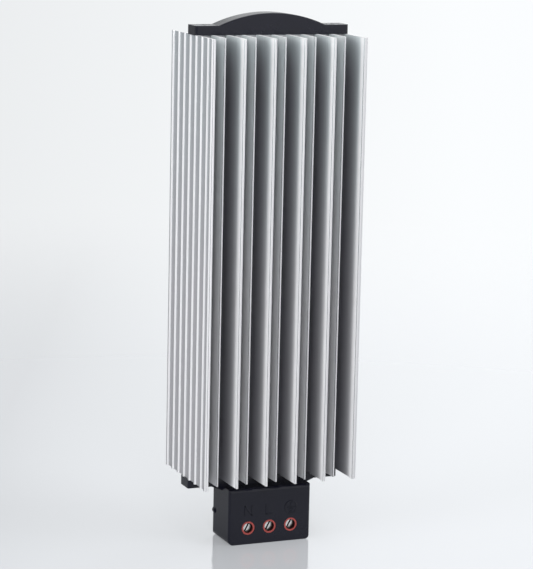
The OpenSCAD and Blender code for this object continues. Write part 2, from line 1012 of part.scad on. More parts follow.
heat_sink();
top_cap();
top_cap_screws();
bottom_cap();
bottom_cap_screws();
terminal_housing();
rear_cover();
housing_screws();
terminal_block();
clamp_bodies();
clamp_screws();
heating_stones();
stone_frame();
front_electrode();
rear_electrode();
insulating_sleeve();
live_lead();
neutral_lead();
earth_lead();
earth_lug();
earth_screw();
rail_clip();
clip_nut_bar();
clip_screws();
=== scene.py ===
# Enclosure heater: the finish of every piece, the raised terminal marks, the studio and the camera.
import json
import math

import bmesh
import bpy
from mathutils import Euler, Matrix, Vector


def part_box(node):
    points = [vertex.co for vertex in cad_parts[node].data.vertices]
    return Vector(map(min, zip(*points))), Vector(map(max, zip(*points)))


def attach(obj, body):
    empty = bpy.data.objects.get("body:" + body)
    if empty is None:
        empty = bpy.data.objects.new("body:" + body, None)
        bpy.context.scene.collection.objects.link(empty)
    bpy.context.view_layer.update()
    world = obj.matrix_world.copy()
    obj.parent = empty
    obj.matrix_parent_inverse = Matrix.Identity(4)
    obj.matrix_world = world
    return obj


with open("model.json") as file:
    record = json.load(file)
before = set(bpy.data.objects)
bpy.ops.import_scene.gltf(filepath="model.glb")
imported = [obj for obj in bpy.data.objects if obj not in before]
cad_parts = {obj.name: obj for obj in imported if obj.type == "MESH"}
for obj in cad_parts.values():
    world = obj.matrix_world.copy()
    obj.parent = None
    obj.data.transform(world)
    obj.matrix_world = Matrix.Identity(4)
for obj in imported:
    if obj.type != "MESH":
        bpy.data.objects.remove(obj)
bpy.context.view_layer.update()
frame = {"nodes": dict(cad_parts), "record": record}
nodes = frame["nodes"]
scene = bpy.context.scene
scene.view_settings.view_transform = "Standard"
MM = 0.001


# Node building

def feed(tree, socket, value):
    """Gives a socket its value: a constant, or another node's output."""
    if isinstance(value, bpy.types.NodeSocket):
        tree.links.new(value, socket)
    else:
        socket.default_value = value


def put(tree, kind, inputs=None, **settings):
    """Adds a node with its settings and the inputs that are named or numbered."""
    node = tree.nodes.new(kind)
    for name, value in settings.items():
        setattr(node, name, value)
    for name, value in (inputs or {}).items():
        feed(tree, node.inputs[name], value)
    return node


def calc(tree, operation, a, b=0.0):
    """Result of one operation on two values."""
    return put(tree, "ShaderNodeMath", {0: a, 1: b}, operation=operation).outputs[0]


def plus(tree, a, b):
    """Sum of two values."""
    return calc(tree, "ADD", a, b)


def minus(tree, a, b):
    """First value less the second."""
    return calc(tree, "SUBTRACT", a, b)


def times(tree, a, b):
    """Product of two values."""
    return calc(tree, "MULTIPLY", a, b)


def larger(tree, a, b):
    """Larger of two values."""
    return calc(tree, "MAXIMUM", a, b)


def unsigned(tree, value):
    """Value without its sign."""
    return calc(tree, "ABSOLUTE", value)


def fading(tree, distance, reach):
    """Share that starts at 1 and falls to 0.37 of itself over each reach."""
    return calc(tree, "EXPONENT", calc(tree, "DIVIDE", distance, -reach))


def remap(tree, value, low, high, to_low, to_high):
    """Value moved from one range to another, held inside it."""
    ranges = {"Value": value, "From Min": low, "From Max": high, "To Min": to_low, "To Max": to_high}
    return put(tree, "ShaderNodeMapRange", ranges).outputs["Result"]


def mask(tree, value, off, on):
    """0 on one side of a range of values and 1 on the other."""
    return remap(tree, value, off, on, 0.0, 1.0)


def blend(tree, share, first, second):
    """Number between two numbers."""
    return put(tree, "ShaderNodeMix", {0: share, 2: first, 3: second}, data_type="FLOAT").outputs[0]


def blend_colour(tree, share, first, second):
    """Colour between two colours."""
    mix = put(tree, "ShaderNodeMix", data_type="RGBA")
    for socket, value in zip((mix.inputs[0], mix.inputs[6], mix.inputs[7]), (share, first, second)):
        feed(tree, socket, value)
    return mix.outputs[2]


def rgba(colour, share=1.0):
    """Colour as a socket takes it, made deeper or paler by a share."""
    return [min(1.0, share * part) for part in colour] + [1.0]


def object_place(tree):
    """Place on a piece, in Object coordinates."""
    return put(tree, "ShaderNodeTexCoord").outputs["Object"]


def face_normal(tree):
    """Direction that the surface faces."""
    return put(tree, "ShaderNodeNewGeometry").outputs["Normal"]


def axes(tree, vector):
    """X, Y and Z of a vector."""
    return put(tree, "ShaderNodeSeparateXYZ", {0: vector}).outputs


def dot(tree, first, second):
    """Dot product of two vectors."""
    product = put(tree, "ShaderNodeVectorMath", {0: first, 1: second}, operation="DOT_PRODUCT")
    return product.outputs["Value"]


def pattern(tree, place, detail):
    """Noise on a place that is already scaled to its features."""
    inputs = {"Vector": place, "Scale": 1.0, "Detail": detail}
    return put(tree, "ShaderNodeTexNoise", inputs).outputs["Fac"]


def noise(tree, across, detail, stretch=(1, 1, 1)):
    """Noise whose features measure about that many metres, drawn out by the stretch."""
    scale = [1 / (across * drawn) for drawn in stretch]
    mapped = put(tree, "ShaderNodeMapping", {"Vector": object_place(tree), "Scale": scale})
    return pattern(tree, mapped.outputs["Vector"], detail)


# Effects that several finishes share

# Sizes of their patterns
DRIFT_SIZE = 14 * MM
SPECK_SIZE = 0.25 * MM
CHIP_SIZE = 1.5 * MM

# Range of a pattern or a turn over which its effect comes in, and the share it goes from and to
SWING_RANGE = (0.3, 0.7)
SMUDGE_RANGE = (0.35, 0.7)
SPECK_RANGE = (0.62, 0.74)
DUST_TURN = (0.3, 1.0)
DUST_SHARE = (0.1, 1.0)
EDGE_TURN = (0.98, 0.8)
CHIP_RANGE = (0.3, 0.6)
CHIP_SHARE = (0.4, 1.0)
RECESS_RANGE = (0.35, 0.95)


def effect(name, inputs, outputs):
    """Empty shader group with number sockets; gives the tree, its inputs and its outputs."""
    tree = bpy.data.node_groups.new(name, "ShaderNodeTree")
    for label, value in inputs.items():
        socket = tree.interface.new_socket(label, in_out="INPUT", socket_type="NodeSocketFloat")
        socket.default_value = value
    for label in outputs:
        tree.interface.new_socket(label, in_out="OUTPUT", socket_type="NodeSocketFloat")
    return tree, tree.nodes.new("NodeGroupInput").outputs, tree.nodes.new("NodeGroupOutput").inputs


def scaled_place(tree, size):
    """Object coordinates divided by a size in millimetres."""
    per_metre = calc(tree, "DIVIDE", 1 / MM, size)
    inputs = {0: object_place(tree), "Scale": per_metre}
    return put(tree, "ShaderNodeVectorMath", inputs, operation="SCALE").outputs[0]


def make_moulded_grain():
    """Fine pebbled texture of a moulding, and a slow drift of its gloss."""
    tree, given, gives = effect("moulded grain", {"Grain mm": 0.4}, ["Height", "Drift"])
    feed(tree, gives["Height"], pattern(tree, scaled_place(tree, given["Grain mm"]), detail=3.0))
    feed(tree, gives["Drift"], noise(tree, DRIFT_SIZE, detail=3.0))
    return tree


def make_drawn_lines():
    """Fine lines along Z, as a die or a roll leaves them."""
    tree, given, gives = effect("drawn lines", {"Spacing mm": 0.3, "Length": 400.0}, ["Line"])
    at = axes(tree, scaled_place(tree, given["Spacing mm"]))
    along = calc(tree, "DIVIDE", at["Z"], given["Length"])
    lines = put(tree, "ShaderNodeCombineXYZ", {"X": at["X"], "Y": at["Y"], "Z": along}).outputs[0]
    feed(tree, gives["Line"], pattern(tree, lines, detail=2.0))
    return tree


def make_handling():
    """Smudges from hands, and dust that has settled on faces that look up."""
    tree, given, gives = effect("handling", {"Smudge mm": 9.0}, ["Smudge", "Dust"])
    smudges = pattern(tree, scaled_place(tree, given["Smudge mm"]), detail=5.0)
    feed(tree, gives["Smudge"], mask(tree, smudges, *SMUDGE_RANGE))
    specks = mask(tree, noise(tree, SPECK_SIZE, detail=4.0), *SPECK_RANGE)
    settled = remap(tree, axes(tree, face_normal(tree))["Z"], *DUST_TURN, *DUST_SHARE)
    feed(tree, gives["Dust"], times(tree, specks, settled))
    return tree


def make_worn_edge():
    """Mask that is bright along outer edges of about the given radius."""
    tree, given, gives = effect("worn edge", {"Radius mm": 0.4}, ["Edge"])
    radius = times(tree, given["Radius mm"], MM)
    rounded = put(tree, "ShaderNodeBevel", {"Radius": radius}, samples=6).outputs["Normal"]
    edge = mask(tree, dot(tree, rounded, face_normal(tree)), *EDGE_TURN)
    broken = remap(tree, noise(tree, CHIP_SIZE, detail=4.0), *CHIP_RANGE, *CHIP_SHARE)
    feed(tree, gives["Edge"], times(tree, edge, broken))
    return tree


def make_recess_shade():
    """Painted shade: mask that is dark in slots, bores and corners narrower than the reach."""
    tree, given, gives = effect("recess shade", {"Reach mm": 1.5}, ["Open"])
    reach = times(tree, given["Reach mm"], MM)
    seen = put(tree, "ShaderNodeAmbientOcclusion", {"Distance": reach}, samples=8).outputs["AO"]
    feed(tree, gives["Open"], mask(tree, seen, *RECESS_RANGE))
    return tree


MOULDED_GRAIN = make_moulded_grain()
DRAWN_LINES = make_drawn_lines()
HANDLING = make_handling()
WORN_EDGE = make_worn_edge()
RECESS_SHADE = make_recess_shade()


def use(tree, group, inputs=None):
    """Places a shared effect in a material and gives its outputs."""
    node = tree.nodes.new("ShaderNodeGroup")
    node.node_tree = group
    for name, value in (inputs or {}).items():
        node.inputs[name].default_value = value
    return node.outputs


def bare(name, **constants):
    """Material with a shader whose plain values are set on its own sockets."""
    material = bpy.data.materials.new(name)
    material.use_nodes = True
    tree = material.node_tree
    shader = tree.nodes["Principled BSDF"]
    for label, value in constants.items():
        shader.inputs[label.replace("_", " ")].default_value = value
    return material, tree, shader.inputs


def relief(tree, sockets, height, depth_mm, strength):
    """Bump of about that depth."""
    bump = put(tree, "ShaderNodeBump", {"Height": height, "Distance": depth_mm * MM, "Strength": strength})
    feed(tree, sockets["Normal"], bump.outputs["Normal"])


def swing(tree, drawn, low, high):
    """A pattern's middle values spread from a low value to a high one."""
    return remap(tree, drawn, *SWING_RANGE, low, high)


def recess_shaded(tree, colour, deep, reach_mm):
    """Colour that turns to a deep one down in slots and bores, as painted shade."""
    share = use(tree, RECESS_SHADE, {"Reach mm": reach_mm})["Open"]
    return blend_colour(tree, share, deep, colour)


# Anodised extrusion

# Greys of its faces, all painted light and shade: pale where light falls on the tips, the ribs and the
# open top ends, dark as painted shade down the channels and on the side walls
TIP_LIT_GREY = 0.95
SHORT_TIP_LIT_GREY = 0.74
CHANNEL_SHADE_GREY = 0.12
FRONT_LIT_GREY = 0.56
BED_SHADE_GREY = 0.40
SIDE_SHADE_GREY = 0.335
RIB_LIT_GREY = 0.80
# Painted light: the end rib is lighter on the left side than on the right
END_RIB_LIT_LEFT = 0.74
END_RIB_SHADED_RIGHT = 0.54

# Where the painted light and shade change: sizes across the fins, behind their tips, in from the sides and
# down from the top
FIN_PITCH = 13.45 * MM
SHORT_FIN_REACH = 2.5 * MM
SHORT_FIN_DROP = 5.6 * MM
SHORT_FADE = (6 * MM, 14 * MM)
LONG_FADE = 4.5 * MM
LONG_FADE_FULL = 0.5
# A thin darker line just behind each tip
TIP_LINE_FROM = 0.15 * MM
TIP_LINE_TO = 0.8 * MM
TIP_LINE_SHARE = 0.36
BED_DEPTH = (6 * MM, 9 * MM)
END_RIB_DEPTH = (1.5 * MM, 4 * MM)
OUTSIDE_FROM = 1.3 * MM
OUTSIDE_FULL = 1.1 * MM
# Painted light that falls into the channels from the open top end
END_LIGHT_FADE = 6 * MM
END_LIGHT_SHARE = 0.58

# How far a face turns to the front or back, or up or down, to count as such
FRONT_TURN = (0.5, 0.8)
SAWN_TURN = (0.8, 0.95)

# Tint: a little blue all over, and a cooler cast on middling greys towards the top
RED_SHARE = 0.995
BLUE_SHARE = 0.99
BLUE_LIFT = 0.022
COOL_DROP = 0.07
COOL_LEVEL = (0.11, 0.215)
COOL_FROM = (0.15, 0.35)
COOL_UP_TO = (0.92, 0.75)

# Gloss, die lines and saw marks
LINE_TONE = (0.94, 1.06)
SATIN_GLOSS = (0.44, 0.52)
SATIN_SMUDGE = 0.04
SAW_MARK = 0.35 * MM
SAW_STRETCH = (1, 60, 60)
SAW_DARK = (0.74, 0.75, 0.76)
SAW_PALE = (0.95, 0.95, 0.96)


def dark_tip_line(tree, behind_tip):
    """Share of the grey that is left: less on a thin dark line behind each tip."""
    past = calc(tree, "GREATER_THAN", behind_tip, TIP_LINE_FROM)
    before = calc(tree, "LESS_THAN", behind_tip, TIP_LINE_TO)
    return remap(tree, times(tree, past, before), 0.0, 1.0, 1.0, TIP_LINE_SHARE)


def fin_light_and_shade(tree, behind_tip, short, line, from_end):
    """Painted light and shade on the fins' sides: pale with painted light by the tips, dark with painted
    shade at the roots, and lifted by painted light at the open top ends.
    """
    fade = fading(tree, behind_tip, LONG_FADE)
    long_fin = remap(tree, fade, 0.0, LONG_FADE_FULL, CHANNEL_SHADE_GREY, TIP_LIT_GREY)
    short_fin = remap(tree, behind_tip, *SHORT_FADE, SHORT_TIP_LIT_GREY, CHANNEL_SHADE_GREY)
    lined = times(tree, blend(tree, short, long_fin, short_fin), line)
    # Painted light coming in at the open top ends
    end_light = times(tree, fading(tree, from_end, END_LIGHT_FADE), END_LIGHT_SHARE)
    return blend(tree, end_light, lined, TIP_LIT_GREY)


def extrusion_light_and_shade(tree, at, across):
    """Painted light and shade of every face along the extrusion: its fins, its channel beds darker further
    in, its side walls in painted shade, the lit ribs on those, and an end rib lighter on the left than on
    the right.
    """
    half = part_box("heat_sink")[1]
    depth = minus(tree, half.y, unsigned(tree, at["Y"]))
    from_short = calc(tree, "PINGPONG", at["X"], FIN_PITCH / 2)
    short = calc(tree, "LESS_THAN", from_short, SHORT_FIN_REACH)
    behind_tip = minus(tree, depth, times(tree, short, SHORT_FIN_DROP))
    line = dark_tip_line(tree, behind_tip)
    fins = fin_light_and_shade(tree, behind_tip, short, line, minus(tree, half.z, at["Z"]))
    # Painted shade: faces turned to the front grow darker further into the channels
    fronts = remap(tree, depth, *BED_DEPTH, FRONT_LIT_GREY, BED_SHADE_GREY)
    # Painted light: the end rib is lighter on the left side than on the right
    end_rib = remap(tree, at["X"], -half.x, half.x, END_RIB_LIT_LEFT, END_RIB_SHADED_RIGHT)
    ribs = remap(tree, depth, *END_RIB_DEPTH, end_rib, RIB_LIT_GREY)
    inner = blend(tree, across, fins, fronts)
    # Painted shade on the side walls between their lit ribs
    outer = blend(tree, across, times(tree, line, SIDE_SHADE_GREY), ribs)
    outside = mask(tree, unsigned(tree, at["X"]), half.x - OUTSIDE_FROM, half.x - OUTSIDE_FULL)
    return blend(tree, outside, inner, outer)


def satin_colour(tree, grey, drawn, across, level):
    """Colour of a grey with its die lines, cooler on the sides of the fins towards the top."""
    high = remap(tree, level, *COOL_LEVEL, 0.0, COOL_DROP)
    middling = times(tree, mask(tree, grey, *COOL_FROM), mask(tree, grey, *COOL_UP_TO))
    cool = times(tree, high, larger(tree, minus(tree, middling, across), 0.0))
    tone = times(tree, grey, drawn)
    return put(tree, "ShaderNodeCombineColor", {
        "Red": times(tree, tone, minus(tree, RED_SHARE, cool)),
        "Green": tone,
        "Blue": plus(tree, times(tree, tone, BLUE_SHARE), BLUE_LIFT),
    }).outputs["Color"]


def anodised_aluminium():
    """Natural anodised extrusion: die lines down its length, saw marks on its two ends, and painted light
    and shade in its greys.
    """
    material, tree, sockets = bare("anodised_aluminium", Metallic=0.35, IOR=1.6)
    lines = use(tree, DRAWN_LINES, {"Spacing mm": 0.45, "Length": 700.0})["Line"]
    wear = use(tree, HANDLING, {"Smudge mm": 16.0})
    at = axes(tree, object_place(tree))
    facing = axes(tree, face_normal(tree))
    across = mask(tree, unsigned(tree, facing["Y"]), *FRONT_TURN)
    sawn = mask(tree, unsigned(tree, facing["Z"]), *SAWN_TURN)
    # Painted light and shade of every face
    grey = extrusion_light_and_shade(tree, at, across)
    satin = satin_colour(tree, grey, swing(tree, lines, *LINE_TONE), across, at["Z"])
    saw_lines = noise(tree, SAW_MARK, detail=3.0, stretch=SAW_STRETCH)
    cut = blend_colour(tree, saw_lines, rgba(SAW_DARK), rgba(SAW_PALE))
    feed(tree, sockets["Base Color"], blend_colour(tree, sawn, satin, cut))
    gloss = plus(tree, swing(tree, lines, *SATIN_GLOSS), times(tree, wear["Smudge"], SATIN_SMUDGE))
    feed(tree, sockets["Roughness"], gloss)
    relief(tree, sockets, blend(tree, sawn, lines, saw_lines), depth_mm=0.03, strength=0.35)
    return material


# Mouldings, metals and ceramic

# Mouldings: rubbed edges, dust, painted shade in recesses and uneven gloss
RUBBED_RADIUS_MM = 0.35
RUBBED_SHARE = 0.35
RUBBED_PALER = 2.2
DUSTED_SHARE = 0.5
RECESS_SHADE_DEEPER = 0.06
MOULDED_DRIFT = 0.05
MOULDED_SMUDGE = 0.06

# Metals: worn edges, painted shade in slots and the swing of gloss between their lines
WORN_RADIUS_MM = 0.3
WORN_SHARE = 0.5
WORN_PALER = 1.25
SLOT_SHADE_REACH_MM = 1.2
SLOT_SHADE_DEEPER = 0.05
PLATED_SWING = 0.07

# Ceramic: the stone, its specks and its gloss
STONE_GREY = (0.09, 0.09, 0.10)
STONE_SPECK = (0.3, 0.3, 0.3)
STONE_RANGE = (0.58, 0.68)
STONE_SHARE = 0.6
STONE_GLOSS = (0.6, 0.75)


def moulded_plastic(name, dark, light, gloss, grain_mm, depth_mm, dust=(0.0, 0.0, 0.0), recess_shade_mm=0):
    """Moulding with a fine grain, uneven gloss, paler edges and a little dust; painted shade in recesses
    if asked.
    """
    material, tree, sockets = bare(name, IOR=1.5, Specular_IOR_Level=0.37)
    grain = use(tree, MOULDED_GRAIN, {"Grain mm": grain_mm})
    wear = use(tree, HANDLING)
    edge = use(tree, WORN_EDGE, {"Radius mm": RUBBED_RADIUS_MM})["Edge"]
    body = blend_colour(tree, grain["Drift"], rgba(dark), rgba(light))
    rubbed = blend_colour(tree, times(tree, edge, RUBBED_SHARE), body, rgba(light, RUBBED_PALER))
    colour = blend_colour(tree, times(tree, wear["Dust"], DUSTED_SHARE), rubbed, rgba(dust))
    # Painted shade deep in bores and recesses
    if recess_shade_mm:
        colour = recess_shaded(tree, colour, rgba(dark, RECESS_SHADE_DEEPER), recess_shade_mm)
    feed(tree, sockets["Base Color"], colour)
    drift = swing(tree, grain["Drift"], gloss - MOULDED_DRIFT, gloss + MOULDED_DRIFT)
    feed(tree, sockets["Roughness"], plus(tree, drift, times(tree, wear["Smudge"], MOULDED_SMUDGE)))
    relief(tree, sockets, grain["Height"], depth_mm, strength=0.6)
    return material


def plated_metal(name, dark, light, gloss, spacing_mm=0.2, dimmed=0.0):
    """Plated or rolled metal with fine lines, a cloudy plating and painted shade in slots; where asked,
    other glossy surfaces mirror it dimmed by a share."""
    material, tree, sockets = bare(name, Metallic=1.0, IOR=2.0)
    lines = use(tree, DRAWN_LINES, {"Spacing mm": spacing_mm, "Length": 40.0})["Line"]
    wear = use(tree, HANDLING, {"Smudge mm": 4.0})
    edge = use(tree, WORN_EDGE, {"Radius mm": WORN_RADIUS_MM})["Edge"]
    cloudy = blend_colour(tree, wear["Smudge"], rgba(dark), rgba(light))
    rubbed = blend_colour(tree, times(tree, edge, WORN_SHARE), cloudy, rgba(light, WORN_PALER))
    # Painted shade in slots and recesses
    colour = recess_shaded(tree, rubbed, rgba(dark, SLOT_SHADE_DEEPER), SLOT_SHADE_REACH_MM)
    if dimmed:
        mirrored = put(tree, "ShaderNodeLightPath").outputs["Is Glossy Ray"]
        colour = blend_colour(tree, times(tree, mirrored, dimmed), colour, rgba((0, 0, 0)))
    feed(tree, sockets["Base Color"], colour)
    feed(tree, sockets["Roughness"], swing(tree, lines, gloss - PLATED_SWING, gloss + PLATED_SWING))
    relief(tree, sockets, lines, depth_mm=0.01, strength=0.4)
    return material


def sintered_ceramic():
    """Dark fired stone with pale specks."""
    material, tree, sockets = bare("heating_ceramic", IOR=1.6)
    grain = use(tree, MOULDED_GRAIN, {"Grain mm": 0.15})
    specks = remap(tree, grain["Height"], *STONE_RANGE, 0.0, STONE_SHARE)
    feed(tree, sockets["Base Color"], blend_colour(tree, specks, rgba(STONE_GREY), rgba(STONE_SPECK)))
    feed(tree, sockets["Roughness"], swing(tree, grain["Drift"], *STONE_GLOSS))
    relief(tree, sockets, grain["Height"], depth_mm=0.03, strength=1.0)
    return material


LEAD_SKIN = {"gloss": 0.5, "grain_mm": 0.3, "depth_mm": 0.02}
MOULDINGS = {
    "black_plastic": {
        "dark": (0.0025, 0.0027, 0.0070), "light": (0.0040, 0.0042, 0.0090), "dust": (0.10, 0.10, 0.10),
        "gloss": 0.20, "grain_mm": 0.35, "depth_mm": 0.03,
    },
    "red_plastic": {
        "dark": (0.20, 0.040, 0.036), "light": (0.25, 0.050, 0.045), "dust": (0.4, 0.2, 0.2),
        # Painted shade down its bores
        "gloss": 0.36, "grain_mm": 0.3, "depth_mm": 0.02, "recess_shade_mm": 5.0,
    },
    "frame_plastic": {
        "dark": (0.46, 0.35, 0.20), "light": (0.54, 0.43, 0.27), "dust": (0.5, 0.45, 0.35),
        "gloss": 0.5, "grain_mm": 0.4, "depth_mm": 0.03,
    },
    "film": {
        "dark": (0.55, 0.26, 0.03), "light": (0.66, 0.34, 0.06),
        "gloss": 0.22, "grain_mm": 1.5, "depth_mm": 0.02,
    },
    "brown_lead": {"dark": (0.15, 0.06, 0.025), "light": (0.21, 0.09, 0.04), **LEAD_SKIN},
    "blue_lead": {"dark": (0.03, 0.09, 0.34), "light": (0.05, 0.13, 0.43), **LEAD_SKIN},
    "green_lead": {"dark": (0.26, 0.40, 0.04), "light": (0.33, 0.48, 0.07), **LEAD_SKIN},
}
METALS = {
    "zinc_steel": {"dark": (0.56, 0.58, 0.62), "light": (0.68, 0.69, 0.70), "gloss": 0.34},
    "nickel_steel": {
        "dark": (0.84, 0.83, 0.81), "light": (0.94, 0.93, 0.91), "gloss": 0.24, "dimmed": 0.85,
    },
    "spring_steel": {
        "dark": (0.48, 0.49, 0.51), "light": (0.58, 0.59, 0.61), "gloss": 0.36, "spacing_mm": 0.3,
    },
    "brass": {"dark": (0.64, 0.46, 0.19), "light": (0.76, 0.58, 0.28), "gloss": 0.32},
}
FINISHES = {"anodised_aluminium": anodised_aluminium(), "heating_ceramic": sintered_ceramic()}
FINISHES.update({name: moulded_plastic(name, **look) for name, look in MOULDINGS.items()})
FINISHES.update({name: plated_metal(name, **look) for name, look in METALS.items()})


def dress_solids():
    """Gives every solid the finish of its own slot."""
    for part in frame["record"]["subparts"]:
        mesh = nodes[part["node"]].data
        mesh.materials.clear()
        mesh.materials.append(FINISHES[part["material_slot"]])


# Raised marks over the terminals

MARK_Z = 15.0 * MM
MARK_H = 4.2 * MM
MARK_W = 3.2 * MM
FOOT_SHARE = 0.8
RING_R = 2.7 * MM
RING_SIDES = 40
STEM_H = 1.9 * MM
BAR_STEP = 0.95 * MM
BAR_HALVES = (1.6 * MM, 1.0 * MM, 0.4 * MM)
STROKE_W = 0.55 * MM
STROKE_H = 0.2 * MM
STROKE_SINK = 0.05 * MM
BOSS_SIDES = 16
SAME_POINT = 1e-9


def neutral_strokes():
    """Letter N: two posts and a diagonal."""
    left, right, low, high = -MARK_W / 2, MARK_W / 2, -MARK_H / 2, MARK_H / 2
    return [[(left, low), (left, high)], [(left, high), (right, low)], [(right, low), (right, high)]]


def live_strokes():
    """Letter L: a post and a foot."""
    left, right, low, high = -MARK_W / 2, MARK_W / 2, -MARK_H / 2, MARK_H / 2
    return [[(left, high), (left, low)], [(left, low), (right * FOOT_SHARE, low)]]


def earth_strokes():
    """Earth sign: a stem over three bars, inside a ring."""
    turns = [2 * math.pi * i / RING_SIDES for i in range(RING_SIDES + 1)]
    ring = [(RING_R * math.cos(t), RING_R * math.sin(t)) for t in turns]
    stem = [(0, 0), (0, STEM_H)]
    bars = [[(-half, -i * BAR_STEP), (half, -i * BAR_STEP)] for i, half in enumerate(BAR_HALVES)]
    return [ring, stem] + bars


def stroke_mesh(name, strokes, centre_x):
    """Flat edges of a mark, with loose ends where a stroke stops."""
    mesh = bpy.data.meshes.new(name)
    points, edges = [], []
    for stroke in strokes:
        first = len(points)
        closed = (Vector(stroke[0]) - Vector(stroke[-1])).length < SAME_POINT
        run = stroke[:-1] if closed else stroke
        points += [(x + centre_x, y, 0) for x, y in run]
        edges += [(first + i, first + i + 1) for i in range(len(run) - 1)]
        if closed:
            edges.append((first + len(run) - 1, first))
    mesh.from_pydata(points, edges, [])
    return mesh


def stroke_inputs(tree):
    """Names the sockets of the tree of raised strokes and gives its inputs."""
    face = tree.interface
    face.new_socket("Geometry", in_out="INPUT", socket_type="NodeSocketGeometry")
    for label in ("Width", "Height", "Sink", "Front", "Level"):
        face.new_socket(label, in_out="INPUT", socket_type="NodeSocketFloat")
    face.new_socket("Finish", in_out="INPUT", socket_type="NodeSocketMaterial")
    face.new_socket("Geometry", in_out="OUTPUT", socket_type="NodeSocketGeometry")
    return put(tree, "NodeGroupInput").outputs


def stroke_beads(tree, given, top_w):
    """Bead with drafted sides along each stroke."""
    section = put(tree, "GeometryNodeCurvePrimitiveQuadrilateral", mode="TRAPEZOID")
    sides = {"Bottom Width": given["Width"], "Top Width": top_w, "Height": given["Height"], "Offset": 0.0}
    for label, value in sides.items():
        feed(tree, section.inputs[label], value)
    curves = put(tree, "GeometryNodeMeshToCurve", {"Mesh": given["Geometry"]}).outputs["Curve"]
    level = put(tree, "GeometryNodeSetCurveNormal", {"Curve": curves}, mode="Z_UP").outputs["Curve"]
    sweep = {"Curve": level, "Profile Curve": section.outputs[0], "Fill Caps": True}
    return put(tree, "GeometryNodeCurveToMesh", sweep).outputs["Mesh"]


def end_bosses(tree, given, top_w, half_h):
    """Round drafted boss on each loose end."""
    boss = put(tree, "GeometryNodeMeshCone", {
        "Vertices": BOSS_SIDES, "Depth": given["Height"],
        "Radius Bottom": calc(tree, "DIVIDE", given["Width"], 2.0),
        "Radius Top": calc(tree, "DIVIDE", top_w, 2.0),
    }).outputs["Mesh"]
    lowered = put(tree, "ShaderNodeCombineXYZ", {"Z": times(tree, half_h, -1.0)}).outputs[0]
    centred = put(tree, "GeometryNodeTransform", {"Geometry": boss, "Translation": lowered}).outputs[0]
    links = put(tree, "GeometryNodeInputMeshVertexNeighbors").outputs["Vertex Count"]
    loose = put(tree, "FunctionNodeCompare", {2: links, 3: 1}, data_type="INT", operation="EQUAL")
    spread = {"Points": given["Geometry"], "Selection": loose.outputs[0], "Instance": centred}
    return put(tree, "GeometryNodeInstanceOnPoints", spread).outputs["Instances"]


def make_raised_strokes():
    """Geometry tree: beads and bosses of a flat mark, stood upright and sunk a little into the front."""
    tree = bpy.data.node_groups.new("raised strokes", "GeometryNodeTree")
    given = stroke_inputs(tree)
    top_w = minus(tree, given["Width"], given["Height"])
    half_h = calc(tree, "DIVIDE", given["Height"], 2.0)
    both = put(tree, "GeometryNodeJoinGeometry")
    for part in (stroke_beads(tree, given, top_w), end_bosses(tree, given, top_w, half_h)):
        tree.links.new(part, both.inputs[0])
    out = minus(tree, given["Front"], minus(tree, half_h, given["Sink"]))
    stand = put(tree, "ShaderNodeCombineXYZ", {"Y": out, "Z": given["Level"]}).outputs[0]
    upright = put(tree, "GeometryNodeTransform", {
        "Geometry": both.outputs[0], "Translation": stand, "Rotation": Euler((math.pi / 2, 0, 0)),
    }).outputs[0]
    real = put(tree, "GeometryNodeRealizeInstances", {"Geometry": upright}).outputs[0]
    done = put(tree, "GeometryNodeSetMaterial", {"Geometry": real, "Material": given["Finish"]}).outputs[0]
    feed(tree, put(tree, "NodeGroupOutput").inputs[0], done)
    return tree


def run_tree(name, mesh, tree, values):
    """Runs a geometry tree on a mesh and leaves the result as a plain mesh object."""
    source = bpy.data.objects.new(name + "_source", mesh)
    scene.collection.objects.link(source)
    modifier = source.modifiers.new("tree", "NODES")
    modifier.node_group = tree
    for item in tree.interface.items_tree:
        if item.in_out == "INPUT" and item.name in values:
            modifier[item.identifier] = values[item.name]
    seen = source.evaluated_get(bpy.context.evaluated_depsgraph_get())
    made = bpy.data.objects.new(name, bpy.data.meshes.new_from_object(seen))
    bpy.data.objects.remove(source)
    scene.collection.objects.link(made)
    return made


def terminal_marks():
    """One raised mark over each terminal screw."""
    tree = make_raised_strokes()
    mounts = frame["record"]["mounts"]
    terminals = sorted(mount["pos_m"][0] for mount in mounts if mount["name"].startswith("wire_hole"))
    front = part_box("terminal_housing")[0].y
    marks = {
        "neutral_mark": neutral_strokes(),
        "live_mark": live_strokes(),
        "earth_mark": earth_strokes(),
    }
    for (name, strokes), x in zip(marks.items(), terminals):
        piece = run_tree(name, stroke_mesh(name + "_strokes", strokes, x), tree, {
            "Width": STROKE_W, "Height": STROKE_H, "Sink": STROKE_SINK, "Front": front, "Level": MARK_Z,
            "Finish": FINISHES["black_plastic"],
        })
        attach(piece, "root")


# Studio

# Table top, solid round the heater and faded out at its rim, with a glow that is weaker on the left
FLOOR_R = 0.95
FLOOR_SOLID_R = 0.32
FLOOR_SIDES = 96
FLOOR_GREY = (0.31, 0.32, 0.34)
GLOW_COLOUR = (0.95, 0.975, 1.0)
GLOW_HIGH = 0.25
GLOW_LOW = 0.125
GLOW_DROP = 0.11
GLOW_EDGE = 0.125
GLOW_FADE = 0.07
GLOW_TURN = math.radians(22.52)

# White room: brightest on the right and in front, dim on the left, and bright again at the far left
ROOM_COLOUR = (0.965, 0.985, 1.0)
ROOM_MIDDLE = 0.67
ROOM_SLOPE = 0.725
FRONT_LIFT = 0.2
LEFT_DIP = 0.3
FAR_LEFT_SLOPE = -1.0
FAR_LEFT_START = -0.2
ROOM_LOW = 0.26
ROOM_HIGH = 1.0
BACKGROUND_LOW = 0.82
FILL_COLOUR = (0.98, 0.99, 1.0)
FILL = 0.25

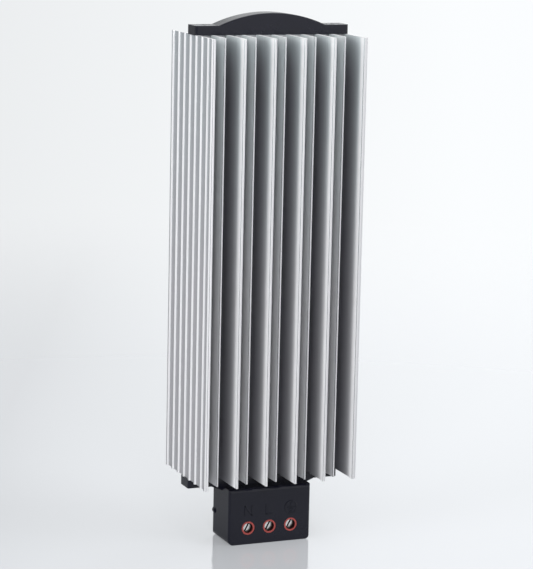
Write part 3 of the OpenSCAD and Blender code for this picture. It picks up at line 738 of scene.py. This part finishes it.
# Softboxes: place, width and height in metres, and power in watts
LIT_POINT = (0, 0, 0.12)
SOFTBOXES = {
    "key_box": ((-0.75, -1.85, 0.9), (1.2, 1.2), 38),
    "right_box": ((1.6, -1.2, 0.8), (1.0, 1.2), 24),
    "left_box": ((-1.9, -0.5, 0.45), (0.9, 1.2), 33),
    "top_box": ((0.1, -0.2, 1.5), (1.2, 1.0), 12),
    "back_box": ((1.4, 1.4, 1.3), (1.0, 0.8), 16),
}


def table_glow(tree, place):
    """Light that the eye sees on the table top besides its gloss."""
    rightwards = (math.cos(GLOW_TURN), -math.sin(GLOW_TURN), 0)
    from_edge = plus(tree, dot(tree, place, rightwards), GLOW_EDGE)
    drop = times(tree, fading(tree, from_edge, GLOW_FADE), GLOW_DROP)
    glow = larger(tree, minus(tree, GLOW_HIGH, drop), GLOW_LOW)
    seen = times(tree, glow, put(tree, "ShaderNodeLightPath").outputs["Is Camera Ray"])
    return put(tree, "ShaderNodeEmission", {"Color": rgba(GLOW_COLOUR), "Strength": seen}).outputs[0]


def table_gloss():
    """Glossy white finish that fades into the background round the table's rim."""
    material, tree, _ = bare(
        "table_gloss", Base_Color=rgba(FLOOR_GREY), Roughness=0.08, IOR=1.75,
        Coat_Weight=0.65, Coat_Roughness=0.08,
    )
    place = object_place(tree)
    gloss = tree.nodes["Principled BSDF"].outputs[0]
    solid = put(tree, "ShaderNodeAddShader", {0: gloss, 1: table_glow(tree, place)}).outputs[0]
    clear = put(tree, "ShaderNodeBsdfTransparent").outputs[0]
    reach = put(tree, "ShaderNodeVectorMath", {0: place}, operation="LENGTH").outputs["Value"]
    rim = {"Value": reach, "From Min": FLOOR_SOLID_R, "From Max": FLOOR_R}
    fade = put(tree, "ShaderNodeMapRange", rim, interpolation_type="SMOOTHSTEP").outputs["Result"]
    faded = put(tree, "ShaderNodeMixShader", {0: fade, 1: solid, 2: clear}).outputs[0]
    feed(tree, tree.nodes["Material Output"].inputs["Surface"], faded)
    return material


def studio_floor():
    """Round table top under the heater."""
    mesh = bpy.data.meshes.new("table_top")
    shape = bmesh.new()
    bmesh.ops.create_circle(shape, cap_ends=True, radius=FLOOR_R, segments=FLOOR_SIDES)
    shape.to_mesh(mesh)
    shape.free()
    mesh.materials.append(table_gloss())
    table = bpy.data.objects.new("table_top", mesh)
    scene.collection.objects.link(table)


def room_brightness(tree):
    """Brightness of the white room in each direction."""
    towards = axes(tree, put(tree, "ShaderNodeTexCoord").outputs["Generated"])
    across = plus(tree, times(tree, towards["X"], ROOM_SLOPE), ROOM_MIDDLE)
    ahead = times(tree, calc(tree, "MINIMUM", towards["Y"], 0.0), -FRONT_LIFT)
    dip = times(tree, calc(tree, "MINIMUM", towards["X"], 0.0), LEFT_DIP)
    near = plus(tree, plus(tree, across, ahead), dip)
    far_left = plus(tree, times(tree, towards["X"], FAR_LEFT_SLOPE), FAR_LEFT_START)
    bright = larger(tree, near, far_left)
    return put(tree, "ShaderNodeClamp", {"Value": bright, "Min": ROOM_LOW, "Max": ROOM_HIGH}).outputs[0]


def studio_world():
    """White room that the eye, the gloss and the metal see; a plain grey fills the shadows."""
    world = bpy.data.worlds.new("white_room")
    scene.world = world
    world.use_nodes = True
    tree = world.node_tree
    tree.nodes.clear()
    path = put(tree, "ShaderNodeLightPath").outputs
    pale = larger(tree, room_brightness(tree), times(tree, path["Is Camera Ray"], BACKGROUND_LOW))
    white = put(tree, "ShaderNodeBackground", {"Color": rgba(ROOM_COLOUR), "Strength": pale}).outputs[0]
    grey = put(tree, "ShaderNodeBackground", {"Color": rgba(FILL_COLOUR), "Strength": FILL}).outputs[0]
    mirrored = larger(tree, path["Is Glossy Ray"], path["Is Transmission Ray"])
    seen = larger(tree, path["Is Camera Ray"], mirrored)
    mixed = put(tree, "ShaderNodeMixShader", {0: seen, 1: grey, 2: white}).outputs[0]
    feed(tree, put(tree, "ShaderNodeOutputWorld").inputs["Surface"], mixed)


def softbox(name, place, size, watts):
    """Rectangular lamp turned towards the heater; what shines sees the white room in its stead."""
    lamp = bpy.data.lights.new(name, "AREA")
    lamp.shape = "RECTANGLE"
    lamp.size, lamp.size_y = size
    lamp.energy = watts
    holder = bpy.data.objects.new(name, lamp)
    holder.visible_camera = False
    holder.visible_glossy = False
    holder.location = place
    holder.rotation_euler = (Vector(LIT_POINT) - Vector(place)).to_track_quat("-Z", "Y").to_euler()
    scene.collection.objects.link(holder)


def studio_lights():
    """Key softbox beside the camera, a softer one on each side, one overhead and one behind."""
    for name, (place, size, watts) in SOFTBOXES.items():
        softbox(name, place, size, watts)


# Camera

CAMERA_PLACE = (-0.3868, -0.9367, 0.2995)
CAMERA_YAW = math.radians(22.52)
CAMERA_PITCH = math.radians(10.51)
CAMERA_ROLL = math.radians(1.25)
CAMERA_NEAR = 0.01
SENSOR_MM = 36
FOCAL_PIXELS = 2394
IMAGE_HEIGHT = 569


def photo_camera():
    """Camera at the photograph's viewpoint; the sensor's width spans the image's long side, its height."""
    lens = bpy.data.cameras.new("camera")
    lens.sensor_width = SENSOR_MM
    lens.lens = FOCAL_PIXELS * SENSOR_MM / IMAGE_HEIGHT
    lens.clip_start = CAMERA_NEAR
    camera = bpy.data.objects.new("camera", lens)
    aim = Euler((math.pi / 2 - CAMERA_PITCH, 0, -CAMERA_YAW)).to_matrix()
    turned = aim @ Matrix.Rotation(CAMERA_ROLL, 3, "Z")
    camera.matrix_world = Matrix.LocRotScale(Vector(CAMERA_PLACE), turned, None)
    scene.collection.objects.link(camera)
    scene.camera = camera


photo_camera()
dress_solids()
terminal_marks()
studio_floor()
studio_world()
studio_lights()
